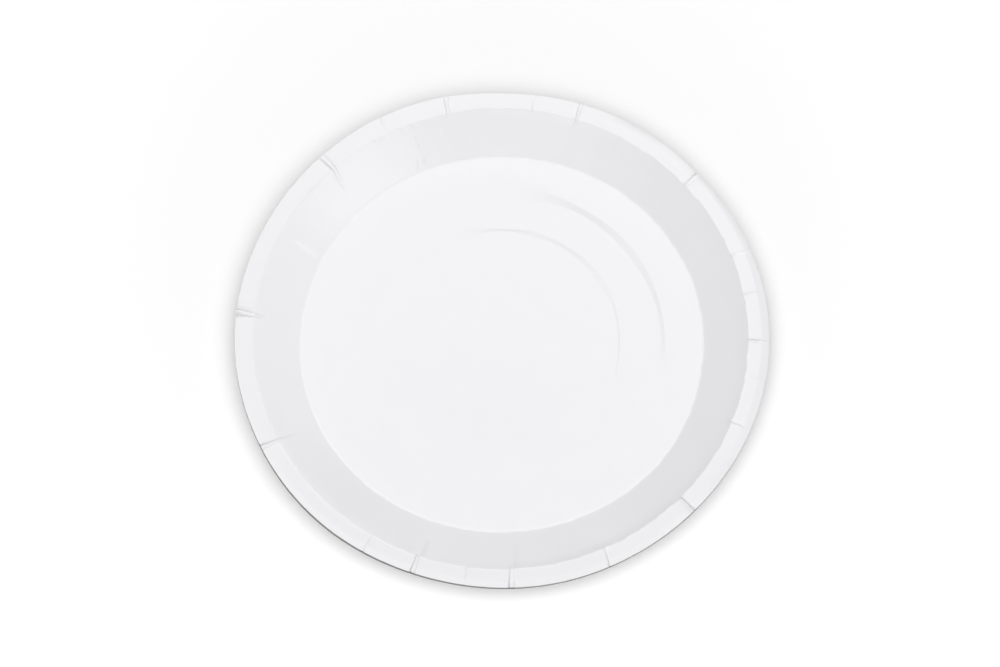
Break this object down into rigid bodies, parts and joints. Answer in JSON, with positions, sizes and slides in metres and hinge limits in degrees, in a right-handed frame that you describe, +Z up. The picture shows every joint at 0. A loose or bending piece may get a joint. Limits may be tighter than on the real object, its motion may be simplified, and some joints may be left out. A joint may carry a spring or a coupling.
{
  "type": "paper plate",
  "caption": "Round disposable plate pressed from coated white paperboard, with a flat stepped floor, a sloping wall and a narrow rim with tucked folds and a turned-down lip.",
  "frame": {"origin": "centre of the underside of the floor's middle panel, on the surface that the plate stands on", "axes": "+Z up out of the dish; +X and +Y lie in the floor, with +Y away from the picture's camera"},
  "size_m": [0.23, 0.23, 0.0097],
  "materials": {
    "coated_paperboard": "white clay-coated paperboard with a soft satin sheen"
  },
  "bodies": {
    "root": {"paper_plate": "coated_paperboard"}
  },
  "joints": []
}
